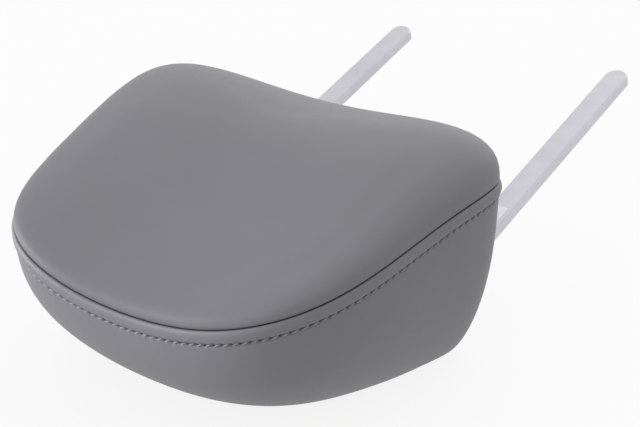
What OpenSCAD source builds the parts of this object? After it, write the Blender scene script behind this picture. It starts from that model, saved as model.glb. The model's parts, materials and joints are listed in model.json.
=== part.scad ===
// Headrest attachment for an office chair: an upholstered wedge cushion on two flat bars.
// It lies on its back. X runs across it, +Y from the head end to the bar tips, and +Z is up.
// The origin is under the middle of the whole piece, on the surface that it lies on.

/* [Face outline] */
// Half-width of the face seam, at the middle of the outline
face_half_w = 128; // [120:1:136]
// From the middle of the outline to the head end of the seam
head_len = 116.5; // [110:0.5:122]
// From the middle of the outline to the neck end of the seam
neck_len = 86.5; // [80:0.5:92]
// Squareness of the head end, where 2 is an ellipse
head_square = 4.4; // [3.4:0.1:4.8]
// Squareness of the neck end
neck_square = 4.1; // [3.4:0.1:4.8]
// Gain in half-width towards the neck end, per 100 mm and per mm of half-width
face_widen = 0.1; // [0.05:0.01:0.12]

/* [Seam height] */
// Height of the seam surface at the middle of the outline
seam_h = 98.7; // [96:0.1:102]
// Rise of the seam surface towards the neck end, per 100 mm
seam_rise = 34; // [30:1:36]
// Bend of that rise, per 100 mm squared
seam_bend = -6; // [-8:1:0]
// S-curve of that rise, per 100 mm cubed
seam_curl = -12; // [-14:1:-4]
// Lift of the seam surface at the sides, per 100 mm squared
side_lift = 9; // [4:1:12]
// Loss of that lift towards the neck end, per 100 mm
side_lift_loss = 10; // [4:1:12]

/* [Face dome] */
// Height of the dome over the seam surface
dome_h = 40; // [32:1:44]
// Flatness of the dome's middle
dome_flat = 2.8; // [2.4:0.1:3.2]
// Fullness of the dome's edge
dome_edge = 2.7; // [2.2:0.1:3]
// Gain in dome height at the neck end
neck_puff = 15.5; // [10:0.5:22]
// Depth of the neck hollow between the two ears
neck_dip = 28.5; // [0:0.5:30]
// Width of the neck hollow, from its middle
neck_dip_w = 140; // [110:1:160]

/* [Back outline] */
// From the middle of the face outline to the middle of the back outline, towards the neck
back_shift = 32.5; // [29:0.5:36]
// Half-width of the back panel
back_half_w = 92.5; // [88:0.5:96]
// From the middle of the back outline to its head end
back_head_len = 93.5; // [90:0.5:98]
// From the middle of the back outline to its neck end
back_neck_len = 50.5; // [49:0.5:56]
// Squareness of the back's head end
back_head_square = 2.3; // [2:0.1:2.6]
// Squareness of the back's neck end
back_neck_square = 5; // [4:0.1:5.6]
// Gain in half-width of the back towards the neck end, per 100 mm
back_widen = 0.23; // [0.15:0.01:0.25]
// Upper curve of the side wall
wall_top = 2.5; // [2:0.1:2.8]
// Lower curve of the side wall
wall_foot = 1.2; // [1.1:0.1:1.6]

/* [Cover] */
// Thickness of the cover material
cover_t = 1.5; // [1:0.1:2]
// From the face seam down to the top stitching
lip_w = 8.5; // [7:0.1:10]
// Length of one stitch and the gap after it
stitch_pitch = 5.5; // [5:0.1:7]
// Length of thread that shows in one stitch
stitch_len = 3.9; // [3:0.1:4.4]
// Radius of the top stitching thread
thread_r = 0.4; // [0.3:0.1:0.6]

/* [Bars] */
// Width of one bar
bar_w = 16; // [14:1:18]
// Thickness of one bar
bar_t = 8; // [6:0.5:9]
// Chamfer along the edges of one bar
bar_edge = 1.2; // [0.4:0.1:2]
// Distance between the two bars, from middle to middle
bar_spacing = 178; // [174:1:180]
// Length of one bar
bar_len = 300; // [294:1:302]
// Angle between the bars and the cushion's back
bar_tilt = 17.5; // [16:0.5:18]
// Height of the bars' top face at the tips
tip_h = 118; // [116:1:120]
// From the head end of the seam to the bar tips
tip_reach = 404.5; // [400:0.5:410]
// Distance from the tip to the screw nearer to it
screw_near = 244; // [242:1:246]
// Distance between the two screws in one bar
screw_gap = 38; // [36:1:40]

/* [Board and plate] */
// Half-width of the board
board_half_w = 99; // [98:1:102]
// Length of the board along the bars
board_len = 80; // [76:1:84]
// Thickness of the board
board_t = 12; // [10:1:13]
// Thickness of the plate that ties the bars
plate_t = 2.5; // [2:0.5:3]
// Length of the plate along the bars
plate_len = 56; // [52:1:58]

/* [Zip] */
// Length of the zip opening in the back cover
zip_len = 130; // [110:1:140]
// Width of the zip opening
zip_gap = 7; // [6:0.5:8]
// Width of one zip tape
tape_w = 12; // [10:1:14]

/* [Hidden] */

// Room between solids that touch on the real piece
gap = 0.3;
// Inset of the foam from the outside of the cover
foam_inset = cover_t + gap;
// How far solids that cut others reach past them
past = 200;

// Places along Y, from the head end of the seam
overall_len = tip_reach + bar_t * sin(bar_tilt);
outline_y = head_len - overall_len / 2;
tip_y = tip_reach - overall_len / 2;
back_y = outline_y + back_shift;

// Hardware, M6
screw_r = 2.9;
screw_head_r = 5.25;
screw_head_h = 3.3;
hole_r = 3.3;
washer_r = 6.25;
washer_t = 1.6;
nut_flange_r = 9.5;
nut_flange_t = 1.5;
nut_barrel_r = 3.9;
nut_barrel_len = 9;
nut_bore_r = 3;
screw_len = 25;
screw_rows = [-screw_near - screw_gap, -screw_near];
row_mid = -screw_near - screw_gap / 2;
board_corner_r = 30;
plate_corner_r = 8;

// Plastic trim round each bar where it leaves the cushion
trim_w = 26;
trim_h = 17;
trim_t = 2;
trim_collar_w = 22.4;
trim_collar_h = 15;
trim_depth = 6;
trim_corner_r = 3;
slot_play = 0.3;
// Distance from the bar tip to the outside of the trim
trim_at = 217;
// Turn of the trim, which follows the wall while the bar runs through it at a slant
trim_turn = 13.5;

// How gently the neck hollow starts, as a share of the neck length
dip_start = 0.2;

// Label on the right bar, from its outer end
label_w = 10;
label_len = 24;
label_at = 163;
label_t = 0.15;

// Zip, across the back near its neck end
zip_y = back_y + back_neck_len - 34;
tape_t = 0.6;
tape_past = 10;
teeth_w = 2.2;
teeth_t = 1.4;
teeth_pitch = 3;
slider_len = 12;
slider_w = 9;
slider_t = 3.2;
pull_len = 24;
pull_w = 5;
pull_t = 0.9;

// Steps of the curved surfaces
turns = 72;
foam_turns = 48;
wall_steps = 9;
dome_steps = 9;
rim_steps = 200;

// ---- Surfaces of the cushion ----

function power(v, n) = pow(abs(v), n);

// Point of a closed D outline at an angle, with its head end towards -Y
function outline(angle, half_w, head, neck, head_n, neck_n) =
    let (
        n = sin(angle) < 0 ? head_n : neck_n,
        depth = sin(angle) < 0 ? head : neck,
        reach = pow(power(cos(angle) / half_w, n) + power(sin(angle) / depth, n), -1 / n)
    )
    reach * [cos(angle), sin(angle)];

function widened(p, rate) = [p.x * (1 + rate * p.y / 100), p.y];

// Outline of the face seam, seen from above, moved in by an inset
function seam_point(angle, inset) =
    widened(outline(angle, face_half_w - inset, head_len - inset, neck_len - inset,
        head_square, neck_square), face_widen) + [0, outline_y];

// Outline of the back panel
function back_point(angle, inset) =
    widened(outline(angle, back_half_w - inset, back_head_len - inset, back_neck_len - inset,
        back_head_square, back_neck_square), back_widen) + [0, back_y];

// Height of the seam surface over a point
function seam_z(p) =
    let (across = p.x / 100, along = (p.y - outline_y) / 100)
    seam_h + seam_rise * along + seam_bend * pow(along, 2) + seam_curl * pow(along, 3)
        + (side_lift - side_lift_loss * along) * pow(across, 2);

// Side wall: up runs from 0 at the back panel to 1 at the seam
function wall(angle, up, inset) =
    let (
        foot = back_point(angle, inset),
        top = seam_point(angle, inset),
        out = pow(1 - pow(1 - up, wall_top), 1 / wall_foot),
        p = foot + (top - foot) * out
    )
    [p.x, p.y, inset + (seam_z(top) - inset) * up];

// Point of the seam surface: in runs from 1 at the seam to 0 in the middle
function seam_surface(angle, in, inset, lift) =
    let (p = [0, outline_y] + in * (seam_point(angle, inset) - [0, outline_y]))
    [p.x, p.y, seam_z(p) + lift];

// Height of the face over the seam surface
function dome(p, in) =
    let (
        along = (p.y - outline_y) / neck_len,
        neckward = (along + sqrt(pow(along, 2) + pow(dip_start, 2))) / 2
    )
    pow(1 - pow(in, dome_flat), 1 / dome_edge)
        * (dome_h + neck_puff * along - neck_dip * exp(-pow(p.x / neck_dip_w, 2)) * neckward);

function face(angle, in, inset) =
    let (p = seam_surface(angle, in, inset, gap))
    p + [0, 0, max(dome(p, in) - inset * (1 - in), 0)];

// Rings of points, each counter-clockwise seen from above
function wall_ring(up, inset, count) = [for (i = [0:count - 1]) wall(360 * i / count, up, inset)];
function face_ring(in, inset, count) = [for (i = [0:count - 1]) face(360 * i / count, in, inset)];
function flat_ring(in, inset, lift, count) =
    [for (i = [0:count - 1]) seam_surface(360 * i / count, in, inset, lift)];

// Steps that are closer together near the foot of the wall and near the rim of the dome
function wall_up(i, steps) = pow(i / steps, 1.6);
function dome_in(i, steps) = cos(90 * i / steps);

// ---- Solids from rings ----

function band_faces(count, rings) =
    [for (i = [0:rings - 2], j = [0:count - 1])
        let (a = i * count + j, b = i * count + (j + 1) % count)
        each [[a, b + count, b], [a, a + count, b + count]]];

// Solid through rings that go up or in, closed by a point at each end
module capped(rings, first, last) {
    count = len(rings[0]);
    total = count * len(rings);
    end = total - count;
    points = concat([for (ring = rings) each ring], [first, last]);
    first_cap = [for (j = [0:count - 1]) [total, j, (j + 1) % count]];
    last_cap = [for (j = [0:count - 1]) [total + 1, end + (j + 1) % count, end + j]];
    polyhedron(points, concat(band_faces(count, len(rings)), first_cap, last_cap), convexity = 4);
}

// Ring-shaped solid: the last ring joins the first
module looped(rings) {
    count = len(rings[0]);
    points = [for (ring = concat(rings, [rings[0]])) each ring];
    polyhedron(points, band_faces(count, len(rings) + 1), convexity = 4);
}

module rounded_plate(size, r, t) {
    linear_extrude(t) hull()
        for (x = [-1, 1], y = [-1, 1])
            translate([x * (size.x / 2 - r), y * (size.y / 2 - r)]) circle(r, $fn = 32);
}

// ---- Places ----

// Frame of the bars: the origin is between the tips, on the bars' top faces, and +Y runs to the tips
module along_bars() {
    translate([0, tip_y, tip_h]) rotate([bar_tilt, 0, 0]) children();
}

module at_bar(side) {
    along_bars() translate([side * bar_spacing / 2, 0, 0]) children();
}

module at_screws() {
    for (side = [-1, 1], y = screw_rows)
        at_bar(side) translate([0, y, 0]) children();
}

// ---- Cover ----

module face_cover() {
    inner = [for (i = [dome_steps - 1:-1:0]) face_ring(dome_in(i, dome_steps), cover_t, turns)];
    outer = [for (i = [0:dome_steps - 1]) face_ring(dome_in(i, dome_steps), 0, turns)];
    color("dimgray") capped(concat(inner, outer), face(0, 0, cover_t), face(0, 0, 0));
}

module side_cover() {
    outer = [for (i = [0:wall_steps]) wall_ring(wall_up(i, wall_steps), 0, turns)];
    inner = [for (i = [wall_steps:-1:0]) wall_ring(wall_up(i, wall_steps), cover_t, turns)];
    color("gray") difference() {
        looped(concat(outer, inner));
        for (side = [-1, 1]) trim_hole(side, gap);
    }
}

module back_cover() {
    color("dimgray") difference() {
        linear_extrude(cover_t)
            polygon([for (i = [0:turns - 1]) back_point(360 * i / turns, cover_t + gap)]);
        translate([0, zip_y, -gap]) rounded_plate([zip_len, zip_gap], zip_gap / 2, cover_t + 2 * gap);
    }
}

// Distance down the wall, from the seam to the top stitching, as a share of the wall's height
function lip_up(angle) = 1 - lip_w / seam_z(seam_point(angle, 0));
function lip_point(angle) = wall(angle, lip_up(angle), -thread_r);

module top_stitching() {
    path = [for (i = [0:rim_steps]) lip_point(360 * i / rim_steps)];
    steps = [for (i = [0:rim_steps - 1]) norm(path[i + 1] - path[i])];
    run = [for (i = 0, sum = 0; i <= rim_steps; sum = sum + (i < rim_steps ? steps[i] : 0), i = i + 1)
        [sum, 360 * i / rim_steps]];
    length = run[rim_steps][0];
    stitches = round(length / stitch_pitch);
    color("gray") for (i = [0:stitches - 1]) {
        start = lip_point(lookup(length * i / stitches, run));
        end = lip_point(lookup(length * i / stitches + stitch_len, run));
        thread(start, end);
    }
}

module thread(start, end) {
    way = end - start;
    turn = atan2(way.y, way.x);
    fall = acos(way.z / norm(way));
    translate(start) rotate([0, fall, turn]) cylinder(h = norm(way), r = thread_r, $fn = 16);
}

// ---- Foam ----

// Soft layer that fills the dome
module comfort_foam() {
    under = [for (i = [dome_steps - 1:-1:1])
        flat_ring(dome_in(i, dome_steps), foam_inset, gap, foam_turns)];
    over = [for (i = [0:dome_steps - 1]) face_ring(dome_in(i, dome_steps), foam_inset, foam_turns)];
    color("khaki") capped(concat(under, over),
        seam_surface(0, 0, foam_inset, gap), face(0, 0, foam_inset));
}

// Everything under the seam surface
module foam_block() {
    sides = [for (i = [0:wall_steps]) wall_ring(wall_up(i, wall_steps), foam_inset, foam_turns)];
    lid = [for (i = [1:dome_steps - 1])
        flat_ring(dome_in(i, dome_steps), foam_inset, 0, foam_turns)];
    capped(concat(sides, lid), [0, back_y, foam_inset], seam_surface(0, 0, foam_inset, 0));
}

module foam_core() {
    color("wheat") difference() {
        foam_block();
        along_bars() translate([-past, -3 * past, board_t + gap - past]) cube([2 * past, 4 * past, past]);
        at_screws() translate([0, 0, board_t - gap])
            cylinder(h = nut_flange_t + 3 * gap, r = nut_flange_r + gap, $fn = 48);
    }
}

module back_foam() {
    color("burlywood") difference() {
        foam_block();
        along_bars() translate([-past, -3 * past, board_t]) cube([2 * past, 4 * past, past]);
        along_bars() translate([0, row_mid, -gap])
            rounded_plate([2 * board_half_w + 2 * gap, board_len + 2 * gap], board_corner_r,
                board_t + 2 * gap);
        for (side = [-1, 1]) {
            at_bar(side) translate([-bar_w / 2 - gap, -bar_len - gap, -bar_t - gap])
                cube([bar_w + 2 * gap, bar_len, bar_t + gap]);
            trim_hole(side, 2 * gap);
        }
        along_bars() translate([0, row_mid, -bar_t - plate_t - gap])
            rounded_plate([bar_spacing + 1.5 * bar_w + 2 * gap, plate_len + 2 * gap], plate_corner_r,
                plate_t + 2 * gap);
        at_screws() translate([0, 0, -bar_t - plate_t - washer_t - screw_head_h - gap])
            cylinder(h = past / 10, r = washer_r + gap, $fn = 48);
        translate([-zip_len / 2 - tape_past - gap, zip_y - tape_w - 2, 0])
            cube([zip_len + 2 * tape_past + 2 * gap, 2 * tape_w + 4, cover_t + 2 * gap + slider_t + tape_t]);
    }
}

// ---- Frame ----

module inner_board() {
    color("tan") difference() {
        along_bars() translate([0, row_mid, 0])
            rounded_plate([2 * board_half_w, board_len], board_corner_r, board_t);
        at_screws() translate([0, 0, -gap])
            cylinder(h = board_t + 2 * gap, r = nut_barrel_r + 0.1, $fn = 32);
    }
}

// Outline of a bar with its half-round end at the origin, moved in by an inset
module bar_outline(inset) {
    translate([-bar_w / 2 + inset, -bar_len + inset])
        square([bar_w - 2 * inset, bar_len - bar_w / 2 - inset]);
    translate([0, -bar_w / 2]) circle(bar_w / 2 - inset, $fn = 64);
}

module bar(side) {
    color("silver") difference() {
        at_bar(side) translate([0, 0, -bar_t]) hull() {
            linear_extrude(bar_t) bar_outline(bar_edge);
            translate([0, 0, bar_edge]) linear_extrude(bar_t - 2 * bar_edge) bar_outline(0);
        }
        for (y = screw_rows)
            at_bar(side) translate([0, y, -bar_t - gap]) cylinder(h = bar_t + 2 * gap, r = hole_r, $fn = 32);
    }
}

module tie_plate() {
    color("slategray") difference() {
        along_bars() translate([0, row_mid, -bar_t - plate_t])
            rounded_plate([bar_spacing + 1.5 * bar_w, plate_len], plate_corner_r, plate_t);
        at_screws() translate([0, 0, -bar_t - plate_t - gap])
            cylinder(h = plate_t + 2 * gap, r = hole_r, $fn = 32);
    }
}

module bar_screws() {
    under_head = -bar_t - plate_t - washer_t;
    color("gray") at_screws() {
        translate([0, 0, under_head]) cylinder(h = screw_len, r = screw_r, $fn = 32);
        translate([0, 0, under_head - screw_head_h])
            cylinder(h = screw_head_h, r1 = screw_head_r * 0.7, r2 = screw_head_r, $fn = 32);
    }
}

module screw_washers() {
    color("lightgray") at_screws() translate([0, 0, -bar_t - plate_t - washer_t]) difference() {
        cylinder(h = washer_t, r = washer_r, $fn = 48);
        translate([0, 0, -gap]) cylinder(h = washer_t + 2 * gap, r = hole_r, $fn = 32);
    }
}

module tee_nuts() {
    color("lightgray") at_screws() difference() {
        union() {
            translate([0, 0, board_t]) cylinder(h = nut_flange_t, r = nut_flange_r, $fn = 48);
            translate([0, 0, board_t - nut_barrel_len])
                cylinder(h = nut_barrel_len + gap, r = nut_barrel_r, $fn = 32);
        }
        translate([0, 0, 0]) cylinder(h = board_t + 2 * nut_flange_t, r = nut_bore_r, $fn = 32);
    }
}

// ---- Trims and label ----

// Frame of one trim: it stands upright on the wall, and +Z points out of the cushion
module at_trim(side) {
    at_bar(side) translate([0, -trim_at, -bar_t / 2])
        rotate([-90 - bar_tilt, 0, 0]) rotate([0, side * trim_turn, 0]) children();
}

// Room for a trim: its whole flange sinks into the soft cover
module trim_hole(side, room) {
    at_trim(side) translate([0, 0, -trim_depth - room])
        rounded_plate([trim_w + 2 * room, trim_h + 2 * room], trim_corner_r, 2 * trim_depth);
}

module slot_trim(side) {
    color("black") difference() {
        at_trim(side) {
            translate([0, 0, -trim_t]) rounded_plate([trim_w, trim_h], trim_corner_r, trim_t);
            translate([0, 0, -trim_depth])
                rounded_plate([trim_collar_w, trim_collar_h], trim_corner_r, trim_depth);
        }
        at_bar(side) translate([-bar_w / 2 - slot_play, -trim_at - 2 * trim_depth, -bar_t - slot_play])
            cube([bar_w + 2 * slot_play, 4 * trim_depth, bar_t + 2 * slot_play]);
    }
}

module bar_label() {
    color("white") at_bar(1) translate([-label_w / 2, -label_at - label_len, 0])
        cube([label_w, label_len, label_t]);
}

// ---- Zip ----

// Frame of the zip: the origin is in the middle of the opening, on the inside of the back cover
module at_zip() {
    translate([0, zip_y, cover_t]) children();
}

module zip_tapes() {
    color("dimgray") at_zip() for (side = [0, 1]) mirror([0, side, 0])
        translate([-zip_len / 2 - tape_past, 1, 0]) cube([zip_len + 2 * tape_past, tape_w, tape_t]);
}

module zip_teeth() {
    run = zip_len - 2 * slider_len;
    color("black") at_zip() for (x = [0:teeth_pitch:run], side = [0, 1]) mirror([0, side, 0])
        translate([x - run / 2 - slider_len / 2, 0.2, tape_t]) cube([teeth_pitch / 2, teeth_w, teeth_t]);
}

module zip_slider() {
    color("silver") at_zip() translate([zip_len / 2 - slider_len, 0, 0]) {
        translate([-slider_len / 2, -slider_w / 2, tape_t]) cube([slider_len, slider_w, slider_t]);
        translate([-1.5, -0.8, 0.4 - cover_t]) cube([3, 1.6, cover_t + tape_t]);
    }
}

module zip_pull() {
    color("silver") at_zip() translate([zip_len / 2 - slider_len, 0, 0.4 - cover_t]) difference() {
        translate([3 - pull_len, -pull_w / 2, 0]) cube([pull_len, pull_w, pull_t]);
        translate([-1.8, -1.2, -gap]) cube([3.6, 2.4, pull_t + 2 * gap]);
    }
}

face_cover();
side_cover();
back_cover();
top_stitching();
comfort_foam();
foam_core();
back_foam();
inner_board();
bar(-1);  // bar_left
bar(1);  // bar_right
tie_plate();
bar_screws();
screw_washers();
tee_nuts();
slot_trim(-1);  // slot_trim_left
slot_trim(1);  // slot_trim_right
zip_tapes();
zip_teeth();
zip_slider();
zip_pull();
bar_label();
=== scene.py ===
"""Looks of the headrest attachment: an upholstered wedge cushion on two flat bars.

Surface maths is in millimetres, in the row frame: X across, +Y from the head end to the bar tips,
Z up. Meshes are in metres.
"""

import json
import math

import bmesh
import bpy
import numpy as np
from mathutils import Matrix, Vector
from mathutils.kdtree import KDTree


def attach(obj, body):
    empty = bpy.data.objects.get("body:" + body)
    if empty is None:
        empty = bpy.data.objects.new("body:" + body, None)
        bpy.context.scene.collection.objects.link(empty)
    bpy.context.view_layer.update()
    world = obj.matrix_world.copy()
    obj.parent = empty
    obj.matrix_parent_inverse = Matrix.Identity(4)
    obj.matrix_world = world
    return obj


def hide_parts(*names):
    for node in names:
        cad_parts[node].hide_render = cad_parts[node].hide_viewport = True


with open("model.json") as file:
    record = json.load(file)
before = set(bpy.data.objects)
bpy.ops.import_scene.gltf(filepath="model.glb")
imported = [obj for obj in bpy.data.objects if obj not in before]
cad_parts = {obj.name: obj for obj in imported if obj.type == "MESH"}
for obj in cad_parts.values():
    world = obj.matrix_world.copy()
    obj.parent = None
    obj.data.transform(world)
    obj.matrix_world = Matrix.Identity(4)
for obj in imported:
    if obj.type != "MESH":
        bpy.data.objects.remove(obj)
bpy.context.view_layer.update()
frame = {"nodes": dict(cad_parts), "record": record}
nodes = frame["nodes"]

MM = 0.001

# ---- Sizes, as in the CAD model ----

BAR_SPACING, BAR_W, BAR_T = 178.0, 16.0, 8.0
BAR_TILT = math.radians(17.5)
TIP_H = 118.0
TIP_REACH = 404.5
OVERALL_LEN = TIP_REACH + BAR_T * math.sin(BAR_TILT)

# Outlines: half width, length to the head end and to the neck end, squareness of each, and widening
FACE = {"half_w": 128.0, "head": 116.5, "neck": 86.5, "head_n": 4.4, "neck_n": 4.1, "widen": 0.1}
BACK = {"half_w": 92.5, "head": 93.5, "neck": 50.5, "head_n": 2.3, "neck_n": 5.0, "widen": 0.23}
OUTLINE_Y = FACE["head"] - OVERALL_LEN / 2
BACK_Y = OUTLINE_Y + 32.5
TIP_Y = TIP_REACH - OVERALL_LEN / 2

SEAM_H, SEAM_RISE, SEAM_BEND, SEAM_CURL = 98.7, 34.0, -6.0, -12.0
SIDE_LIFT, SIDE_LIFT_LOSS = 9.0, 10.0
WALL_TOP, WALL_FOOT = 2.5, 1.2
DOME_H, DOME_FLAT, DOME_EDGE = 40.0, 2.8, 2.7
NECK_PUFF, NECK_DIP, NECK_DIP_W, DIP_START = 15.5, 28.5, 140.0, 0.2

LIP_W = 8.5
STITCHES = 150
# Share of the pitch that each stitch shows
STITCH_SHARE = 0.7
THREAD_R = 0.4

TRIM_SIZE, TRIM_CORNER = (26.0, 17.0), 3.0
TRIM_AT, TRIM_TURN = 217.0, math.radians(13.5)
ZIP_SIZE = (130.0, 7.0)
ZIP_Y = BACK_Y + BACK["neck"] - 34.0

# Thickness of the panels, a little under the CAD model's, so that they clear the foam
COVER_T = 1.3

# ---- Camera ----

LENS, SENSOR_W = 84.375, 36.0
CAMERA_AT = (0.5148, -0.7103, 0.4387)
CAMERA_PITCH, CAMERA_TURN = math.radians(66.477), math.radians(36.90)

camera_data = bpy.data.cameras.new("camera")
camera_data.lens = LENS
camera_data.sensor_width = SENSOR_W
camera_data.clip_start = 0.01
camera = bpy.data.objects.new("camera", camera_data)
camera.location = CAMERA_AT
camera.rotation_euler = (CAMERA_PITCH, 0.0, CAMERA_TURN)
bpy.context.scene.collection.objects.link(camera)
bpy.context.scene.camera = camera


# ---- Surfaces of the cushion ----


def outline(angle, o, middle_y, inset=0.0):
    """Points of a closed D outline at these angles, with its head end towards -Y."""
    c, s = np.cos(angle), np.sin(angle)
    n = np.where(s < 0, o["head_n"], o["neck_n"])
    depth = np.where(s < 0, o["head"], o["neck"]) - inset
    reach = (np.abs(c / (o["half_w"] - inset)) ** n + np.abs(s / depth) ** n) ** (-1 / n)
    x, y = reach * c, reach * s
    return np.stack([x * (1 + o["widen"] * y / 100), y + middle_y], -1)


def seam_z(p):
    """Height of the seam surface over these points."""
    across, along = p[..., 0] / 100, (p[..., 1] - OUTLINE_Y) / 100
    rise = SEAM_RISE * along + SEAM_BEND * along**2 + SEAM_CURL * along**3
    return SEAM_H + rise + (SIDE_LIFT - SIDE_LIFT_LOSS * along) * across**2


def wall(angle, up, inset=0.0):
    """Side wall: up runs from 0 at the back panel to 1 at the seam."""
    foot, top = outline(angle, BACK, BACK_Y, inset), outline(angle, FACE, OUTLINE_Y, inset)
    out = (1 - (1 - up) ** WALL_TOP) ** (1 / WALL_FOOT)
    xy = foot + (top - foot) * np.asarray(out)[..., None]
    return np.concatenate([xy, (inset + (seam_z(top) - inset) * up)[..., None]], -1)


def seam_surface(angle, within, inset=0.0, lift=0.0):
    """Surface across the seam: within runs from 1 at the seam to 0 in the middle."""
    middle = np.array([0.0, OUTLINE_Y])
    p = middle + (outline(angle, FACE, OUTLINE_Y, inset) - middle) * np.asarray(within)[..., None]
    return np.concatenate([p, (seam_z(p) + lift)[..., None]], -1)


def face(angle, within, inset=0.0):
    """Domed face over the seam surface."""
    p = seam_surface(angle, within, inset)
    along = (p[..., 1] - OUTLINE_Y) / FACE["neck"]
    neckward = (along + np.sqrt(along**2 + DIP_START**2)) / 2
    hollow = NECK_DIP * np.exp(-((p[..., 0] / NECK_DIP_W) ** 2)) * neckward
    rise = np.maximum(1 - within**DOME_FLAT, 0) ** (1 / DOME_EDGE)
    p[..., 2] += np.maximum(rise * (DOME_H + NECK_PUFF * along - hollow) - inset * (1 - within), 0)
    return p


def along_curves(curves, at):
    """Points at distances at[row, column] along each column's curve[sample, column, xyz]."""
    steps = np.linalg.norm(np.diff(curves, axis=0), axis=-1)
    run = np.concatenate([np.zeros((1, steps.shape[1])), np.cumsum(steps, 0)])
    points = np.empty((*at.shape, 3))
    for column in range(at.shape[1]):
        for axis in range(3):
            points[:, column, axis] = np.interp(
                at[:, column], run[:, column], curves[:, column, axis]
            )
    return points


def curve_length(curves):
    """Length of each column's curve."""
    return np.linalg.norm(np.diff(curves, axis=0), axis=-1).sum(0)


# Columns of points run round the cushion, twelve to a stitch, evenly along the top stitching
PER_STITCH = 12
FINE = PER_STITCH * STITCHES
ARC_STEPS = 7200
dense = np.linspace(0, 2 * math.pi, ARC_STEPS + 1)
stitch_line = wall(dense, 1 - LIP_W / seam_z(outline(dense, FACE, OUTLINE_Y)))
stitch_arc = np.concatenate([[0], np.cumsum(np.linalg.norm(np.diff(stitch_line, axis=0), axis=1))])
STITCH_PITCH = stitch_arc[-1] / STITCHES
column_angles = np.interp(np.arange(FINE) * stitch_arc[-1] / FINE, stitch_arc, dense)
column_phase = (np.arange(FINE) / PER_STITCH) % 1.0

SAMPLES = 500
sweep = np.linspace(0, math.pi / 2, SAMPLES)[:, None]
turned = np.broadcast_to(column_angles, (SAMPLES, FINE))
face_curves = face(turned, np.cos(sweep) * np.ones(FINE))
wall_curves = wall(turned, np.linspace(1, 0, SAMPLES)[:, None] * np.ones(FINE))
back_edge = outline(column_angles, BACK, BACK_Y)
back_middle = np.array([0.0, BACK_Y])
back_curves = np.zeros((SAMPLES, FINE, 3))
inwards = np.linspace(0, 1, SAMPLES)[:, None, None]
back_curves[..., :2] = back_edge + (back_middle - back_edge) * inwards


def graded(near, length, count, far=()):
    """Distances from one seam: near ones, then even ones, up to the far ones at the other end."""
    last = length - (far[0] if far else 0.0)
    shares = np.linspace(0, 1, count + 1)[1:, None]
    middle = near[-1] + (last - near[-1]) * shares
    rows = [np.full_like(length, d) for d in near] + list(middle)
    return np.array(rows + [length - d for d in far[1:]])


# Distances of the rows of points from a seam
ROLL_ROWS = [0.0, 0.06, 0.2, 0.4, 0.65, 0.95, 1.3, 1.8]
FACE_NEAR = ROLL_ROWS + [2.6, 3.6, 4.8, 6.3, 8.2]
LIP_NEAR = ROLL_ROWS + [2.4, 3.1, 3.9, 4.8, 5.7, 6.4, 6.9, 7.4, 7.8, 8.2, LIP_W, 8.8, 9.15, 9.5, 9.9]
STITCH_ROW = LIP_NEAR.index(LIP_W)
LIP_NEAR = LIP_NEAR + [10.5, 11.3, 12.4, 13.8, 15.6]
FOOT_FAR = [6.0, 4.4, 3.2, 2.3, 1.6, 1.0, 0.6, 0.3, 0.1, 0.0]
BACK_NEAR = [0.0, 0.1, 0.3, 0.6, 1.0, 1.6, 2.3, 3.2, 4.4, 6.0, 9.0]
# Even rows past the graded ones
FACE_ROWS, WALL_ROWS, BACK_ROWS = 36, 30, 18

face_len, wall_len, back_len = map(curve_length, (face_curves, wall_curves, back_curves))
face_at = graded(FACE_NEAR, face_len, FACE_ROWS)
wall_at = graded(LIP_NEAR, wall_len, WALL_ROWS, FOOT_FAR)
back_at = graded(BACK_NEAR, back_len, BACK_ROWS)
# From the middle of the face, over the seam and down the wall, to the middle of the back
shell = np.concatenate(
    [
        along_curves(face_curves, face_at)[:0:-1],
        along_curves(wall_curves, wall_at),
        along_curves(back_curves, back_at)[1:],
    ]
)
SEAM_ROW = len(face_at) - 1
FOOT_ROW = SEAM_ROW + len(wall_at) - 1

down = np.gradient(shell, axis=0)
around = np.roll(shell, -1, axis=1) - np.roll(shell, 1, axis=1)
normals = np.cross(down, around)
normals /= np.maximum(np.linalg.norm(normals, axis=-1, keepdims=True), 1e-9)
normals[0], normals[-1] = (0, 0, 1), (0, 0, -1)
if normals[SEAM_ROW, 0, 0] < 0:
    normals = -normals


# ---- Relief of the sewn cover, and the shade painted into its seams and needle holes ----


def rolled(distance, radius):
    """Depth of cloth that rolls into a seam, at this distance from it."""
    left = np.clip(radius - distance, 0, radius)
    return radius - np.sqrt(radius**2 - left**2)


def bell(x, width):
    """1 at zero, and falling to nothing over about twice the width."""
    return np.exp(-((x / width) ** 2))


def slow_waves(seed, lengths):
    """Gentle closed waves round the cushion, of about these wavelengths, from -1 to 1."""
    draw = np.random.default_rng(seed)
    total = np.zeros(FINE)
    for length in lengths:
        cycles = max(1, round(stitch_arc[-1] / length))
        total += draw.uniform(0.5, 1.0) * np.sin(
            cycles * 2 * math.pi * np.arange(FINE) / FINE + draw.uniform(0, 2 * math.pi)
        )
    return total / len(lengths)


# Radius at which each panel's edge rolls into its seam
FACE_ROLL, LIP_ROLL, FOOT_ROLL = 1.5, 1.1, 1.5
# The lip's puff, how much that varies along the seam, how far down it leans, and how full it is
LIP_PUFF, PUFF_WAVE, PUFF_LEAN, PUFF_FULL = 1.45, 0.18, 0.9, 0.8
# Depth and width of the groove that the stitching pulls in, and of the pucker round each stitch
GROOVE_DEPTH, GROOVE_W = 0.55, 1.0
PUCKER_DEPTH, PUCKER_W = 0.12, 2.6
# Depth of the needle holes, and their width along and across the stitching
HOLE_DEPTH, HOLE_LEN, HOLE_W = 0.7, 0.8, 0.75
# Ripples in the wall below the stitching: their height, place and width
RIPPLE, RIPPLE_AT, RIPPLE_W = 0.12, 4.0, 3.0
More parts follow.
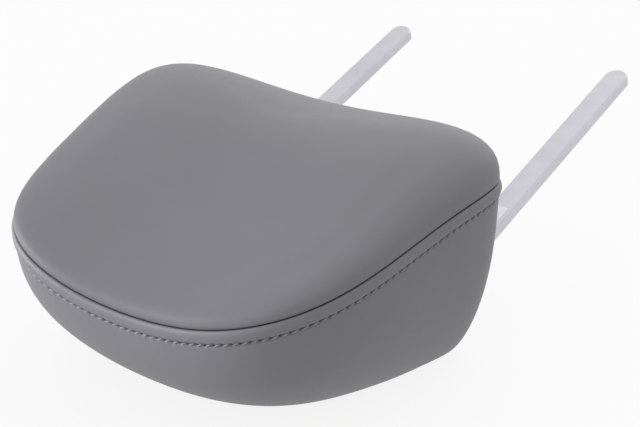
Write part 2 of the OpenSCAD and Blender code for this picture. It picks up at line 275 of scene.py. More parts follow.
# Widths of the shade painted into a seam's crease and into a needle hole
SEAM_SHADE, HOLE_SHADE, HOLE_SHADE_W = 0.26, 0.6, 0.65
# Weight of the soft shade painted beside the seam and in the groove, and its width in each
SOFT_SHADE, SEAM_SOFT_W, GROOVE_SOFT_W = 0.2, 1.6, 0.9
# How far the cover is drawn in round a trim, how far that spreads, and within what depth
TRIM_DENT, TRIM_DENT_W, TRIM_REACH = 0.5, 5.0, 15.0
# Wavelengths of the lip's waves and of the ripples
LIP_WAVES, UNDER_WAVES = (16, 23, 31, 47), (14, 19, 29)

# Distance along the stitching from the middle of the nearest pair of needle holes
hole_phase = (column_phase - (1 + STITCH_SHARE) / 2 + 0.5) % 1.0 - 0.5
hole_along = hole_phase * STITCH_PITCH

relief = np.zeros(shell.shape[:2])
# Painted shade: a 0 to 1 amount that darkens the cover's colour in the seam creases and needle holes
painted_shade = np.zeros(shell.shape[:2])
relief[: SEAM_ROW + 1] -= rolled(face_at, FACE_ROLL)[::-1]
# Painted shade along the face panel's edge, where it rolls into the seam
painted_shade[: SEAM_ROW + 1] += bell(face_at, SEAM_SHADE)[::-1]
painted_shade[: SEAM_ROW + 1] += SOFT_SHADE * bell(face_at, SEAM_SOFT_W)[::-1]

# The side panel: the lip's puff, the stitching in it, the rolled edges, and the shade painted into
# its needle holes, groove and seam creases
side_rows = slice(SEAM_ROW, FOOT_ROW + 1)
below_seam = slice(SEAM_ROW + 1, FOOT_ROW + 1)
lip_wave = slow_waves(3, LIP_WAVES)
under_wave = slow_waves(4, UNDER_WAVES)
from_stitch = wall_at - LIP_W
puff = np.sin(math.pi * np.clip(wall_at / LIP_W, 0, 1) ** PUFF_LEAN) ** PUFF_FULL
relief[below_seam] -= rolled(wall_at, LIP_ROLL)[1:]
relief[side_rows] += puff * (LIP_PUFF + PUFF_WAVE * lip_wave)
relief[side_rows] -= GROOVE_DEPTH * bell(from_stitch, GROOVE_W)
relief[side_rows] += RIPPLE * under_wave * bell(from_stitch - RIPPLE_AT, RIPPLE_W)
relief[side_rows] -= PUCKER_DEPTH * np.cos(2 * math.pi * hole_phase) * bell(from_stitch, PUCKER_W)
relief[side_rows] -= HOLE_DEPTH * bell(hole_along, HOLE_LEN) * bell(from_stitch, HOLE_W)
# Painted shade in the needle holes and the stitching's groove, and in the creases at the seam and at
# the foot
painted_shade[side_rows] += bell(hole_along, HOLE_SHADE) ** 0.7 * bell(from_stitch, HOLE_SHADE_W)
painted_shade[side_rows] += SOFT_SHADE * bell(from_stitch, GROOVE_SOFT_W)
painted_shade[below_seam] += bell(wall_at, SEAM_SHADE)[1:]
relief[side_rows] -= rolled(wall_len - wall_at, FOOT_ROLL)
painted_shade[side_rows] += bell(wall_len - wall_at, SEAM_SHADE)

relief[FOOT_ROW + 1 :] -= rolled(back_at, FOOT_ROLL)[1:]
# Painted shade along the back panel's edge, in the crease of the foot seam
painted_shade[FOOT_ROW + 1 :] += bell(back_at, SEAM_SHADE)[1:]


def trim_frame(side):
    """Frame of one trim: it stands upright on the wall, and +Z points out of the cushion."""
    tips = Matrix.Translation((0, TIP_Y, TIP_H)) @ Matrix.Rotation(BAR_TILT, 4, "X")
    on_bar = Matrix.Translation((side * BAR_SPACING / 2, -TRIM_AT, -BAR_T / 2))
    upright = Matrix.Rotation(-math.pi / 2 - BAR_TILT, 4, "X")
    return tips @ on_bar @ upright @ Matrix.Rotation(side * TRIM_TURN, 4, "Y")


def trim_dent(points, side):
    """How far the cover is drawn in round a trim."""
    local = np.array(trim_frame(side).inverted())
    p = points @ local[:3, :3].T + local[:3, 3]
    outside = np.hypot(
        np.maximum(np.abs(p[..., 0]) - TRIM_SIZE[0] / 2, 0),
        np.maximum(np.abs(p[..., 1]) - TRIM_SIZE[1] / 2, 0),
    )
    return np.where(np.abs(p[..., 2]) < TRIM_REACH, bell(outside, TRIM_DENT_W), 0)


for side in (-1, 1):
    relief -= TRIM_DENT * trim_dent(shell, side)


# ---- Meshes ----


def new_object(name, points, faces):
    """A mesh piece from points in millimetres."""
    mesh = bpy.data.meshes.new(name)
    mesh.from_pydata((np.asarray(points) * MM).tolist(), [], faces)
    mesh.shade_smooth()
    piece = bpy.data.objects.new(name, mesh)
    bpy.context.scene.collection.objects.link(piece)
    return piece


def face_outwards(piece):
    """Turns all faces of a closed piece outwards."""
    bm = bmesh.new()
    bm.from_mesh(piece.data)
    bmesh.ops.recalc_face_normals(bm, faces=bm.faces)
    bm.to_mesh(piece.data)
    bm.free()


def keep_modifiers(piece):
    """Applies a piece's modifiers to its mesh."""
    graph = bpy.context.evaluated_depsgraph_get()
    mesh = bpy.data.meshes.new_from_object(piece.evaluated_get(graph))
    piece.modifiers.clear()
    piece.data = mesh


# The simulated cover takes every so many columns and rows, and is remeshed at this size
CLOTH_COLUMNS, CLOTH_ROWS, VOXEL = 18, 3, 5
FRAMES, PRESSURE = 20, 4
# It is held within so many millimetres of a seam, and comes free over the next few
HELD, COMES_FREE = 3, 5
# How many simulated points each point of the cover follows, and over what distance
NEAREST, SMOOTHING = 12, 7
# The swell is outward only, with a soft bend at zero, and never more than the cap
SOFT_BEND, SWELL_CAP = 0.04, 1.2


def simulated_swell():
    """How far a cloth simulation swells the stuffed cover between its seams, along the normals."""
    rows = list(range(0, SEAM_ROW, CLOTH_ROWS)) + list(range(SEAM_ROW, len(shell), CLOTH_ROWS))
    columns = np.arange(0, FINE, CLOTH_COLUMNS)
    grid = shell[rows][:, columns]
    count = len(columns)
    points = np.concatenate([grid.reshape(-1, 3), [shell[0].mean(0)], [shell[-1].mean(0)]])
    faces = []
    for start in range(0, (len(rows) - 1) * count, count):
        for c in range(count):
            after = (c + 1) % count
            faces.append((start + c, start + after, start + count + after, start + count + c))
    top, bottom = len(points) - 2, len(points) - 1
    last = (len(rows) - 1) * count
    faces += [(c, top, (c + 1) % count) for c in range(count)]
    faces += [(last + (c + 1) % count, bottom, last + c) for c in range(count)]
    blank = new_object("blank", points, faces)
    remesh = blank.modifiers.new("remesh", "REMESH")
    remesh.mode = "VOXEL"
    remesh.voxel_size = VOXEL * MM
    keep_modifiers(blank)
    rest = np.array([v.co for v in blank.data.vertices]) / MM
    seams = KDTree(2 * FINE)
    for i, p in enumerate(np.concatenate([shell[SEAM_ROW], shell[FOOT_ROW]])):
        seams.insert(p, i)
    seams.balance()
    pinned = blank.vertex_groups.new(name="seams")
    for i, p in enumerate(rest):
        hold = 1 - np.clip((seams.find(p)[2] - HELD) / COMES_FREE, 0, 1)
        if hold > 0:
            pinned.add([i], float(hold), "REPLACE")
    cloth = blank.modifiers.new("cloth", "CLOTH")
    cloth.settings.use_pressure = True
    cloth.settings.uniform_pressure_force = PRESSURE
    cloth.settings.vertex_group_mass = "seams"
    cloth.settings.effector_weights.gravity = 0
    for number in range(1, FRAMES + 1):
        bpy.context.scene.frame_set(number)
    keep_modifiers(blank)
    moved = np.array([v.co for v in blank.data.vertices]) / MM - rest
    bpy.context.scene.frame_set(1)
    bpy.data.objects.remove(blank)
    tree = KDTree(len(rest))
    for i, p in enumerate(rest):
        tree.insert(p, i)
    tree.balance()
    sparse = np.zeros((len(shell), count))
    for r in range(len(shell)):
        for c, column in enumerate(columns):
            near = tree.find_n(shell[r, column], NEAREST)
            weights = np.array([math.exp(-((n[2] / SMOOTHING) ** 2)) + 1e-9 for n in near])
            shift = sum(w * moved[n[1]] for w, n in zip(weights, near)) / weights.sum()
            sparse[r, c] = shift @ normals[r, column]
    turns = np.arange(FINE) / CLOTH_COLUMNS
    swell = np.array(
        [np.interp(turns, np.arange(count + 1), np.append(row, row[0])) for row in sparse]
    )
    outward = (swell + np.sqrt(swell**2 + SOFT_BEND)) / 2
    return SWELL_CAP * np.tanh(outward / SWELL_CAP)


swell = simulated_swell()
swell[FOOT_ROW:] = 0
relief += swell

cover = shell + normals * relief[..., None]
cover[..., 2] = np.maximum(cover[..., 2], 0)


def ring_faces(first, second):
    """Faces between two rings of points: alike ones join as quads, others as a fan of triangles."""
    a, b = len(first), len(second)
    if a == b:
        return [
            (first[i], first[(i + 1) % a], second[(i + 1) % b], second[i]) for i in range(a)
        ]
    if a < b:
        return [tuple(reversed(f)) for f in ring_faces(second, first)]
    step, half = a // b, (a // b) // 2
    faces = []
    for j in range(b):
        start, after = second[j], second[(j + 1) % b]
        for k in range(step):
            tip = start if k <= half else after
            faces.append((first[j * step + k], first[(j * step + k + 1) % a], tip))
        middle = first[(j * step + half + 1) % a]
        faces.append((middle, after, start))
    return faces


# Rows on each side of the stitching that keep every column, and the steps between columns elsewhere
FINEST_ROWS, LIP_STEP, COARSE_STEP = 6, 3, 6


def column_step(row):
    """The step between columns in a row: 1 beside the stitching, more on the lip and elsewhere."""
    if abs(row - SEAM_ROW - STITCH_ROW) <= FINEST_ROWS:
        return 1
    near_seam = SEAM_ROW - len(FACE_NEAR) < row < SEAM_ROW + len(LIP_NEAR)
    return LIP_STEP if near_seam else COARSE_STEP


def panel(name, rows, middle_row=None):
    """A closed piece of the cover through these rows: its outside, then its inside."""
    points, painted_shades, rings = [], [], []
    inside = cover - normals * COVER_T
    layers = [(cover, r, column_step(r)) for r in rows]
    # The inside needs only every other row, and both edges
    inner_rows = {rows[0], *rows[::-1][::2]}
    layers += [(inside, r, COARSE_STEP) for r in rows[::-1] if r in inner_rows]
    for layer, r, step in layers:
        rings.append(range(len(points), len(points) + FINE // step))
        points += list(layer[r, ::step])
        painted_shades += list(painted_shade[r, ::step])
    closing = [] if middle_row is not None else [(rings[-1], rings[0])]
    faces = []
    for first, second in [*zip(rings, rings[1:]), *closing]:
        faces += ring_faces(first, second)
    if middle_row is not None:
        for layer, ring in ((cover, rings[0]), (inside, rings[-1])):
            points.append(layer[middle_row].mean(0))
            painted_shades.append(0.0)
            tip, count = len(points) - 1, len(ring)
            faces += [(ring[i], ring[(i + 1) % count], tip) for i in range(count)]
    piece = new_object(name, points, faces)
    # The painted shade of each point, kept as an attribute that darkens the cover's colour
    shade_layer = piece.data.attributes.new("painted_shade_amount", "FLOAT", "POINT")
    shade_layer.data.foreach_set("value", np.clip(np.array(painted_shades, np.float32), 0, 1))
    face_outwards(piece)
    return piece


# The middle of the face and of the back is a single point, so those panels start beside it
face_panel = panel("face_panel", list(range(1, SEAM_ROW + 1)), middle_row=0)
side_panel = panel("side_panel", list(range(SEAM_ROW, FOOT_ROW + 1)))
back_panel = panel(
    "back_panel", list(range(len(cover) - 2, FOOT_ROW - 1, -1)), middle_row=len(cover) - 1
)


def rounded_prism(name, width, height, radius, low, high, frame_matrix):
    """A plate with round corners, between two heights of its own frame."""
    steps = 8
    bm = bmesh.new()
    rings = []
    for z in (low, high):
        ring = []
        for corner in range(4):
            cx = (width / 2 - radius) * (1 if corner in (0, 3) else -1)
            cy = (height / 2 - radius) * (1 if corner in (0, 1) else -1)
            for k in range(steps + 1):
                a = math.radians(90 * corner + 90 * k / steps)
                p = Vector((cx + radius * math.cos(a), cy + radius * math.sin(a), z))
                ring.append(bm.verts.new(frame_matrix @ p * MM))
        rings.append(ring)
    below, above = rings
    bm.faces.new(below[::-1])
    bm.faces.new(above)
    for i in range(len(below)):
        j = (i + 1) % len(below)
        bm.faces.new((below[i], below[j], above[j], above[i]))
    bmesh.ops.recalc_face_normals(bm, faces=bm.faces)
    mesh = bpy.data.meshes.new(name)
    bm.to_mesh(mesh)
    bm.free()
    piece = bpy.data.objects.new(name, mesh)
    bpy.context.scene.collection.objects.link(piece)
    return piece


CRISP = math.radians(50)


def cut_open(piece, cutters):
    """Cuts a piece's openings or pockets, and keeps their edges crisp."""
    for cutter in cutters:
        cut = piece.modifiers.new("opening", "BOOLEAN")
        cut.operation = "DIFFERENCE"
        cut.object = cutter
    keep_modifiers(piece)
    for cutter in cutters:
        bpy.data.objects.remove(cutter)
    piece.data.set_sharp_from_angle(angle=CRISP)


OPENING_PLAY = 0.2
# How far a trim's cutter reaches to each side of the wall, and the zip's corner and heights
TRIM_CUT = 9.0
ZIP_CORNER, ZIP_LOW, ZIP_HIGH = 3.4, -4.0, 6.0
trim_opening = [size + 2 * OPENING_PLAY for size in TRIM_SIZE]
trim_cutters = [
    rounded_prism("trim_cutter", *trim_opening, TRIM_CORNER, -TRIM_CUT, TRIM_CUT, trim_frame(side))
    for side in (-1, 1)
]
zip_cutter = rounded_prism(
    "zip_cutter", *ZIP_SIZE, ZIP_CORNER, ZIP_LOW, ZIP_HIGH, Matrix.Translation((0, ZIP_Y, 0))
)
cut_open(side_panel, trim_cutters)
cut_open(back_panel, [zip_cutter])


# ---- Foam ----

# The foam lies this far inside the cover's outside, and this far from the hardware in it
FOAM_INSET = 2.8
FOAM_GAP = 0.3
BOARD_T, BOARD_SIZE, BOARD_CORNER = 12.0, (198.0, 80.0), 30.0
PLATE_T, PLATE_SIZE, PLATE_CORNER = 2.5, (BAR_SPACING + 1.5 * BAR_W, 56.0), 8.0
SCREW_ROWS = (-282.0, -244.0)
ROW_MID = sum(SCREW_ROWS) / 2
NUT_FLANGE_R, NUT_ROOM_H = 9.5, 2.4
WASHER_R, WASHER_T, SCREW_HEAD_H = 6.25, 1.6, 3.3
WASHER_ROOM_HIGH = -10.0
# The bars' slots start at the tips and end past the bars
SLOT_LEN, SLOT_CORNER, SLOT_HIGH = 300.0, 0.5, 0.1
TRIM_ROOM_LOW = -6.6
ZIP_ROOM_SIZE, ZIP_ROOM_LOW, ZIP_ROOM_HIGH = (ZIP_SIZE[0] + 20, 28.0), -1.0, 5.9
BLUNT = 1.0
FAR = 300.0
WHOLE = (2 * FAR, 2 * FAR)


def stuffing(name, rings, first, last):
    """A closed block of foam through rings of points, with a point at each end."""
    count = len(rings[0])
    points = np.concatenate([*rings, [first], [last]])
    numbers = [range(i * count, (i + 1) * count) for i in range(len(rings))]
    faces = []
    for below, above in zip(numbers, numbers[1:]):
        faces += ring_faces(below, above)
    for ring, tip in ((numbers[0], len(points) - 2), (numbers[-1], len(points) - 1)):
        faces += [(ring[i], ring[(i + 1) % count], tip) for i in range(count)]
    piece = new_object(name, points, faces)
    face_outwards(piece)
    return piece


FOAM_RINGS, LID_RINGS = 25, 16
foam_angles = column_angles[::PER_STITCH]
foam_ups = np.linspace(0, 1, FOAM_RINGS) ** 1.5
foam_steps = [math.cos(math.pi / 2 * i / LID_RINGS) for i in range(LID_RINGS)]
seam_middle = (0, OUTLINE_Y, seam_z(np.array([0.0, OUTLINE_Y])))


def foam_block(name):
    """The wedge of foam under the seam surface, before anything is cut out of it."""
    sides = [wall(foam_angles, up * np.ones(len(foam_angles)), FOAM_INSET) for up in foam_ups]
    lid = [seam_surface(foam_angles, w, FOAM_INSET) for w in foam_steps[1:]]
    return stuffing(name, sides + lid, (0, BACK_Y, FOAM_INSET), seam_middle)


def room_for(x, y, size, corner, low, high, parent):
    """A cutter round a flat piece, a little larger than the piece is."""
    grown = (size[0] + 2 * FOAM_GAP, size[1] + 2 * FOAM_GAP)
    at = parent @ Matrix.Translation((x, y, 0))
    return rounded_prism("room", *grown, corner + FOAM_GAP, low, high, at)


along_bars = Matrix.Translation((0, TIP_Y, TIP_H)) @ Matrix.Rotation(BAR_TILT, 4, "X")
screw_spots = [(side * BAR_SPACING / 2, y) for side in (-1, 1) for y in SCREW_ROWS]

raised = np.array([0, 0, FOAM_GAP])
soft_fill = stuffing(
    "soft_fill",
    [seam_surface(foam_angles, w, FOAM_INSET, FOAM_GAP) for w in foam_steps[:0:-1]]
    + [face(foam_angles, w, FOAM_INSET) + raised for w in foam_steps],
    seam_middle + raised,
    face(np.zeros(1), np.zeros(1), FOAM_INSET)[0] + raised,
)
soft_fill.data.set_sharp_from_angle(angle=CRISP)

core_block = foam_block("core_block")
nut_room = ((2 * NUT_FLANGE_R,) * 2, NUT_FLANGE_R, BOARD_T - FOAM_GAP, BOARD_T + NUT_ROOM_H)
cut_open(
    core_block,
    [room_for(0, ROW_MID, WHOLE, BLUNT, -FAR, BOARD_T + FOAM_GAP, along_bars)]
    + [room_for(x, y, *nut_room, along_bars) for x, y in screw_spots],
)

back_block = foam_block("back_block")
plate_low = -BAR_T - PLATE_T - FOAM_GAP
head_low = plate_low - WASHER_T - SCREW_HEAD_H
bar_slot = ((BAR_W, SLOT_LEN), SLOT_CORNER, -BAR_T - FOAM_GAP, SLOT_HIGH)
trim_room = (TRIM_SIZE, TRIM_CORNER, TRIM_ROOM_LOW, TRIM_CUT)
screw_room = ((2 * WASHER_R,) * 2, WASHER_R, head_low, WASHER_ROOM_HIGH)
cut_open(
    back_block,
    [
        room_for(0, ROW_MID, WHOLE, BLUNT, BOARD_T, FAR, along_bars),
        room_for(0, ROW_MID, BOARD_SIZE, BOARD_CORNER, -FOAM_GAP, BOARD_T + 1, along_bars),
        room_for(0, ROW_MID, PLATE_SIZE, PLATE_CORNER, plate_low, FOAM_GAP - BAR_T, along_bars),
        room_for(0, ZIP_Y, ZIP_ROOM_SIZE, BLUNT, ZIP_ROOM_LOW, ZIP_ROOM_HIGH, Matrix.Identity(4)),
    ]
    + [
        room_for(side * BAR_SPACING / 2, -SLOT_LEN / 2, *bar_slot, along_bars)
        for side in (-1, 1)
    ]
    + [room_for(0, 0, *trim_room, trim_frame(side)) for side in (-1, 1)]
    + [room_for(x, y, *screw_room, along_bars) for x, y in screw_spots],
)

# ---- Top stitching ----

# How far a stitch leans up the lip, how high it arches and how deep it dives, in thread radii
LEAN = 1.5
ARCH, DIVE, DIVE_POWER = 1.3, 3.4, 7
# The thread's three strands: how far they stand out, and half turns along a stitch
STRAND, HALF_TURNS = 0.13, 7.0
STITCH_PAST = 0.03


def stitch_thread():
    """Twisted thread: each stitch leans a little, arches up and dives into its needle holes."""
    sides, rings = 10, 13
    row = SEAM_ROW + STITCH_ROW
    line, up = cover[row], normals[row]
    points, faces = [], []
    for stitch in range(STITCHES):
        share = np.linspace(-STITCH_PAST, 1 + STITCH_PAST, rings)
        at = PER_STITCH * (stitch + STITCH_SHARE * share)
        low = np.floor(at).astype(int)
        part = (at - low)[:, None]
        middle = line[low % FINE] * (1 - part) + line[(low + 1) % FINE] * part
        out = up[low % FINE] * (1 - part) + up[(low + 1) % FINE] * part
        way = np.gradient(middle, axis=0)
        upwards = np.cross(out, way)
        upwards *= np.sign(upwards[:, 2:])
        upwards /= np.linalg.norm(upwards, axis=1, keepdims=True)
        height = THREAD_R * (ARCH - DIVE * np.abs(2 * share - 1) ** DIVE_POWER)
        middle = middle + out * height[:, None] + upwards * (LEAN * (share - 0.5))[:, None]
        way = np.gradient(middle, axis=0)
        way /= np.linalg.norm(way, axis=1, keepdims=True)
        across = np.cross(way, out)
        across /= np.linalg.norm(across, axis=1, keepdims=True)
        out = np.cross(across, way)
        start = len(points)
        for k in range(rings):
            for s in range(sides):
                turn = 2 * math.pi * s / sides
                twist = HALF_TURNS * k / rings * math.pi
                radius = THREAD_R * (1 + STRAND * math.cos(3 * turn - twist))
                spoke = math.cos(turn) * across[k] + math.sin(turn) * out[k]
                points.append(middle[k] + radius * spoke)
        for k in range(rings - 1):
            for s in range(sides):
                a, b = start + k * sides + s, start + k * sides + (s + 1) % sides
                faces.append((a, a + sides, b + sides, b))
        faces.append([start + s for s in range(sides)])
        faces.append([start + (rings - 1) * sides + s for s in range(sides)][::-1])
    return new_object("top_thread", points, faces)


top_thread = stitch_thread()

# ---- Materials ----


def add(tree, kind, inputs=None, **settings):
    """A node with these settings and inputs. An input is a value or another node's output."""
    node = tree.nodes.new(kind)
    for key, value in settings.items():
        setattr(node, key, value)
    for key, value in (inputs or {}).items():
        if isinstance(value, bpy.types.NodeSocket):
            tree.links.new(value, node.inputs[key])
        else:
            node.inputs[key].default_value = value
    return node


def material(name, **values):
    """A Principled material, with its node tree and its shader."""
    mat = bpy.data.materials.new(name)
    mat.use_nodes = True
    shader = mat.node_tree.nodes["Principled BSDF"]
    for key, value in values.items():
        shader.inputs[key.replace("_", " ")].default_value = value
    return mat, mat.node_tree, shader


def place(tree, rotation=(0, 0, 0), scale=(1, 1, 1)):
    """Object coordinates, turned and scaled."""
    where = add(tree, "ShaderNodeTexCoord").outputs["Object"]
    mapping = add(
        tree, "ShaderNodeMapping", {"Vector": where, "Rotation": rotation, "Scale": scale}
    )
    return mapping.outputs["Vector"]


def noise(tree, where, scale, detail=2.0, roughness=0.5):
    """A noise texture's 0 to 1 value."""
    inputs = {"Vector": where, "Scale": scale, "Detail": detail, "Roughness": roughness}
    return add(tree, "ShaderNodeTexNoise", inputs).outputs["Fac"]


def remap(tree, value, low, high):
    """A 0 to 1 value, spread from low to high."""
    inputs = {"Value": value, "To Min": low, "To Max": high}
    return add(tree, "ShaderNodeMapRange", inputs).outputs["Result"]


def between(tree, share, first, second):
    """A colour between two, by a 0 to 1 value."""
    mix = add(tree, "ShaderNodeMix", data_type="RGBA")
    for socket, value in ((mix.inputs[0], share), (mix.inputs[6], first), (mix.inputs[7], second)):
        if isinstance(value, bpy.types.NodeSocket):
            tree.links.new(value, socket)
        else:
            socket.default_value = value
    return mix.outputs[2]


def bump(tree, height, strength, distance, under=None):
    """A normal with this relief, over another normal where one is given."""
    inputs = {"Height": height, "Strength": strength, "Distance": distance}
    if under is not None:
        inputs["Normal"] = under
    return add(tree, "ShaderNodeBump", inputs).outputs["Normal"]


def tint(grey, warmth=0.0):
    """A colour near grey: warmth above 0 leans to red, and below 0 to blue."""
    return (grey * (1 + warmth), grey, grey * (1 - warmth), 1.0)


VIOLET_RED = 1.01


def violet(grey, cast=0.11):
    """A grey with a faint violet cast: more blue by this share, and a hair more red."""
    return (grey * VIOLET_RED, grey, grey * (1 + cast), 1.0)


COVER_GREY = 0.192
THREAD_GREY = 0.27


def leatherette():
    """Fine-grained artificial leather, with shade painted into its colour: darker in seam creases
    and needle holes, where the painted shade attribute says so.
    """
    mat, tree, shader = material("leatherette", IOR=1.45)
    where = place(tree)
    cells = add(
        tree, "ShaderNodeTexVoronoi", {"Vector": where, "Scale": 1100.0}, feature="SMOOTH_F1"
    ).outputs["Distance"]
    pebble = noise(tree, where, 520.0, 3.0)
    patches = noise(tree, where, 22.0, 3.0)
    painted_shade_amount = add(tree, "ShaderNodeAttribute", attribute_name="painted_shade_amount").outputs["Fac"]
    body = between(tree, patches, violet(COVER_GREY * 0.95), violet(COVER_GREY * 1.05))
    # Painted shade: the colour goes down to a quarter of the cover's grey where the attribute is 1
    shade = between(tree, painted_shade_amount, body, violet(COVER_GREY * 0.24))
    tree.links.new(shade, shader.inputs["Base Color"])
    tree.links.new(remap(tree, pebble, 0.40, 0.52), shader.inputs["Roughness"])
    fine = bump(tree, cells, 0.10, 0.0002)
    tree.links.new(bump(tree, pebble, 0.12, 0.0003, fine), shader.inputs["Normal"])
    return mat


def sewing_thread():
    """Thread with fine fibres."""
    mat, tree, shader = material("thread", Roughness=0.55)
    fibres = noise(tree, place(tree), 1800.0, 2.0)
    colour = between(tree, fibres, violet(THREAD_GREY * 0.8), violet(THREAD_GREY * 1.2))
    tree.links.new(colour, shader.inputs["Base Color"])
    tree.links.new(bump(tree, fibres, 0.4, 0.0001), shader.inputs["Normal"])
    return mat


def brushed(name, grey, rough, along_turn, streaks=1.0):
    """Metal with fine streaks along one direction in the plane of the bars."""
    mat, tree, shader = material(name, Metallic=1.0)
    where = place(tree, rotation=(-along_turn, 0, 0), scale=(1.0, 0.02, 1.0))
    lines = noise(tree, where, 2600.0, 3.0, 0.65)
    smudge = remap(tree, noise(tree, place(tree), 34.0, 5.0, 0.62), -0.6, 1.6)
    colour = between(tree, smudge, violet(grey * 0.89, 0.06), violet(grey * 1.07, 0.09))
    tree.links.new(colour, shader.inputs["Base Color"])
    both = add(tree, "ShaderNodeMath", {0: lines, 1: smudge}, operation="ADD").outputs[0]
    half = add(tree, "ShaderNodeMath", {0: both, 1: 0.5}, operation="MULTIPLY").outputs[0]
    tree.links.new(remap(tree, half, rough - 0.08, rough + 0.1), shader.inputs["Roughness"])
    tree.links.new(bump(tree, lines, 0.12 * streaks, 0.00005), shader.inputs["Normal"])
    return mat


def moulded(name, grey, rough=0.45):
    """Moulded plastic with a fine spark texture."""
    mat, tree, shader = material(name, Roughness=rough)
    spark = noise(tree, place(tree), 2400.0, 2.0)
    colour = between(tree, spark, tint(grey * 0.85), tint(grey * 1.15))
    tree.links.new(colour, shader.inputs["Base Color"])
    tree.links.new(remap(tree, spark, rough - 0.06, rough + 0.08), shader.inputs["Roughness"])
    tree.links.new(bump(tree, spark, 0.2, 0.00008), shader.inputs["Normal"])
    return mat


def woven(name, grey, threads_per_m=900.0):
    """Plain weave: two crossed sets of ridges."""
    mat, tree, shader = material(name, Roughness=0.8)
    bands = {"Vector": place(tree), "Scale": threads_per_m, "Distortion": 0.4}
    weft = add(tree, "ShaderNodeTexWave", bands, bands_direction="X").outputs["Fac"]
    warp = add(tree, "ShaderNodeTexWave", bands, bands_direction="Y").outputs["Fac"]
    weave = add(tree, "ShaderNodeMath", {0: weft, 1: warp}, operation="MULTIPLY").outputs[0]
    colour = between(tree, weave, tint(grey * 0.7), tint(grey * 1.2))
    tree.links.new(colour, shader.inputs["Base Color"])
    tree.links.new(bump(tree, weave, 0.5, 0.0001), shader.inputs["Normal"])
    return mat


def foam(name, colour):
    """Open-cell foam."""
    mat, tree, shader = material(name, Roughness=0.9)
    where = place(tree)
    pores = add(
        tree, "ShaderNodeTexVoronoi", {"Vector": where, "Scale": 700.0}, feature="F1"
    ).outputs["Distance"]
    darker = tuple(0.62 * c for c in colour[:3]) + (1.0,)
    tree.links.new(between(tree, pores, darker, colour), shader.inputs["Base Color"])
    tree.links.new(bump(tree, pores, 0.8, 0.0006), shader.inputs["Normal"])
    return mat


def plywood():
    """Plies on the edge, and long grain on the faces."""
    mat, tree, shader = material("plywood", Roughness=0.6)
    where = place(tree, rotation=(-BAR_TILT, 0, 0), scale=(0.08, 1.0, 1.0))
    grain = noise(tree, where, 260.0, 5.0, 0.6)
    plies = add(
        tree, "ShaderNodeTexWave",
        {"Vector": place(tree, rotation=(-BAR_TILT, 0, 0)), "Scale": 80.0, "Distortion": 0.3},
        bands_direction="Z",
    ).outputs["Fac"]
    wood = between(tree, grain, (0.42, 0.25, 0.12, 1), (0.66, 0.46, 0.27, 1))
    layered = between(tree, remap(tree, plies, 0.0, 0.35), wood, (0.30, 0.17, 0.08, 1))
    tree.links.new(layered, shader.inputs["Base Color"])
    tree.links.new(bump(tree, grain, 0.25, 0.0002), shader.inputs["Normal"])
    return mat


def paper():
    """Smooth white paper with faint fibres."""
    mat, tree, shader = material("label_paper", Roughness=0.55)
    fibres = noise(tree, place(tree), 900.0, 4.0)
    tree.links.new(between(tree, fibres, violet(0.93), violet(0.99)), shader.inputs["Base Color"])
    tree.links.new(bump(tree, fibres, 0.1, 0.00005), shader.inputs["Normal"])
    return mat


looks = {
    "cover": leatherette(),
    "thread": sewing_thread(),
    "soft_foam": foam("soft_foam", (0.80, 0.74, 0.55, 1)),
    "firm_foam": foam("firm_foam", (0.42, 0.43, 0.46, 1)),
    "plywood": plywood(),
    "bar_metal": brushed("bar_metal", 0.56, 0.36, BAR_TILT),
    "zinc_plate": brushed("zinc_plate", 0.55, 0.42, BAR_TILT, 0.5),
    "fasteners": brushed("fasteners", 0.60, 0.36, BAR_TILT, 0.3),
    "trim_plastic": moulded("trim_plastic", 0.03),
    "zip_cloth": woven("zip_cloth", 0.05),
    "zip_metal": brushed("zip_metal", 0.50, 0.33, 0.0, 0.4),
    "label_paper": paper(),
}


def dress(piece, slot):
    """Gives a piece the look of a material slot, and no other."""
    piece.data.materials.clear()
    piece.data.materials.append(looks[slot])


node_slots = {s["node"]: s["material_slot"] for s in frame["record"]["subparts"]}
for name, node in nodes.items():
    dress(node, node_slots[name])

WELD_WITHIN = 1e-5
ROUND_STEPS, ROUNDED_FROM = 3, math.radians(40)
# Width of the rounding on each node's edges
EDGE_ROUNDS = {
    "bar_left": 0.9,
    "bar_right": 0.9,
    "tie_plate": 0.4,
    "inner_board": 1.0,
    "slot_trim_left": 0.35,
    "slot_trim_right": 0.35,
    "zip_slider": 0.5,
    "zip_pull": 0.25,
    "zip_teeth": 0.3,
    "bar_label": 0.05,
}
for name, width in EDGE_ROUNDS.items():
    weld = nodes[name].modifiers.new("weld", "WELD")
    weld.merge_threshold = WELD_WITHIN
    bevel = nodes[name].modifiers.new("bevel", "BEVEL")
    bevel.width = width * MM
    bevel.segments = ROUND_STEPS
    bevel.limit_method = "ANGLE"
    bevel.angle_limit = ROUNDED_FROM
    bevel.harden_normals = True

for piece, slot, replaced in (
    (face_panel, "cover", "face_cover"),
    (side_panel, "cover", "side_cover"),
    (back_panel, "cover", "back_cover"),
    (top_thread, "thread", "top_stitching"),
    (soft_fill, "soft_foam", "comfort_foam"),
    (core_block, "firm_foam", "foam_core"),
    (back_block, "firm_foam", "back_foam"),
):
    dress(piece, slot)
    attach(piece, "root")
    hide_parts(replaced)

# ---- Floor and light ----

# The room's own glow, and how much each side of it adds
ROOM_GLOW = 0.2
ROOM_SIDES = (
    ((0.0, 0.0, 1.0), 0.57),
    ((0.0, 1.0, 0.0), 1.15),
    ((0.0, -1.0, 0.0), 0.90),
    ((0.85, -0.53, 0.0), -0.27),
)

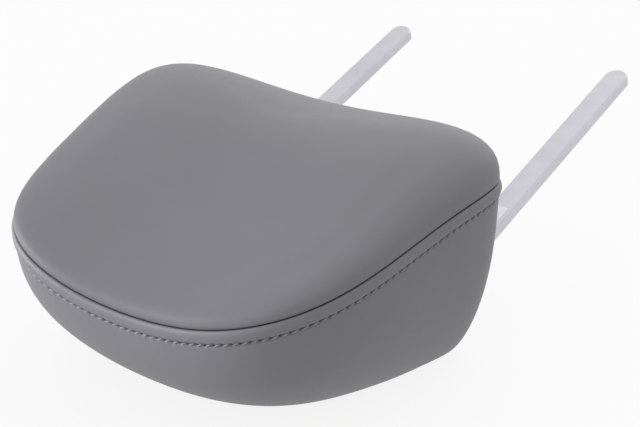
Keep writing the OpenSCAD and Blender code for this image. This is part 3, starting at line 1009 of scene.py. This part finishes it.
FLOOR = 4.0
FLOOR_GREY, FLOOR_GLOW = 0.12, 0.86
floor_mesh = bpy.data.meshes.new("floor")
floor_corners = [(-FLOOR, -FLOOR, 0), (FLOOR, -FLOOR, 0), (FLOOR, FLOOR, 0), (-FLOOR, FLOOR, 0)]
floor_mesh.from_pydata(floor_corners, [], [(0, 1, 2, 3)])
floor = bpy.data.objects.new("floor", floor_mesh)
bpy.context.scene.collection.objects.link(floor)
# A hair below the back panel
FLOOR_DROP = 0.2
floor.location.z = -FLOOR_DROP * MM
floor_mat, _, floor_shader = material("floor", Roughness=0.9)
floor_shader.inputs["Base Color"].default_value = (FLOOR_GREY, FLOOR_GREY, FLOOR_GREY, 1)
floor_shader.inputs["Specular IOR Level"].default_value = 0.0
floor_shader.inputs["Emission Color"].default_value = (1, 1, 1, 1)
floor_shader.inputs["Emission Strength"].default_value = FLOOR_GLOW
floor.data.materials.append(floor_mat)


def lights_only(source, pieces):
    """A lamp or glowing surface that lights these pieces and no others."""
    lit = bpy.data.collections.new("lit_by_" + source.name)
    for piece in pieces:
        lit.objects.link(piece)
    source.light_linking.receiver_collection = lit


# The floor glows for the eye and in the shiny bars. The cushion gets its light from the lamps
FLOOR_AND_BARS = [floor, nodes["bar_left"], nodes["bar_right"]]
SIDES = [side_panel, back_panel, top_thread, nodes["slot_trim_left"], nodes["slot_trim_right"]]
CUSHION = [face_panel, floor, *SIDES]
lights_only(floor, FLOOR_AND_BARS)

# A pale room: the walls before and behind the cushion are brightest, and the near right is dimmer
world = bpy.data.worlds.new("studio")
world.use_nodes = True
sky = world.node_tree
direction = add(sky, "ShaderNodeTexCoord").outputs["Generated"]
room = ROOM_GLOW
for side, glow in ROOM_SIDES:
    towards = add(
        sky, "ShaderNodeVectorMath", {0: direction, 1: side}, operation="DOT_PRODUCT"
    ).outputs["Value"]
    more = add(sky, "ShaderNodeMapRange", {"Value": towards, "To Max": glow}).outputs["Result"]
    room = add(sky, "ShaderNodeMath", {0: more, 1: room}, operation="ADD").outputs[0]
room = add(sky, "ShaderNodeMath", {0: room, 1: 0.0}, operation="MAXIMUM").outputs[0]
sky.links.new(room, sky.nodes["Background"].inputs["Strength"])
sky.nodes["Background"].inputs["Color"].default_value = (1, 1, 1, 1)
bpy.context.scene.world = world


def soft_light(name, location, size, power, pieces=CUSHION, aim=(0, -0.1, 0.06)):
    """A square lamp that faces the cushion, or another point, and lights some pieces."""
    data = bpy.data.lights.new(name, "AREA")
    data.size = size
    data.energy = power
    lamp = bpy.data.objects.new(name, data)
    lamp.location = location
    lamp.rotation_euler = (Vector(aim) - Vector(location)).to_track_quat("-Z", "Y").to_euler()
    lamp.visible_camera = False
    bpy.context.scene.collection.objects.link(lamp)
    lights_only(lamp, pieces)


soft_light("low", (-2.0, -1.3, 0.35), 1.2, 47, SIDES)
soft_light("low_on_face", (-2.0, -1.3, 0.35), 1.2, 24, [face_panel])
soft_light("bounce", (0, 0, 0.002), 3.0, 17.0, aim=(0, 0, 1))
soft_light("left_bounce", (-0.85, -0.55, 0.003), 1.0, 5.5, aim=(-0.85, -0.55, 1))

bpy.context.scene.view_settings.view_transform = "Standard"
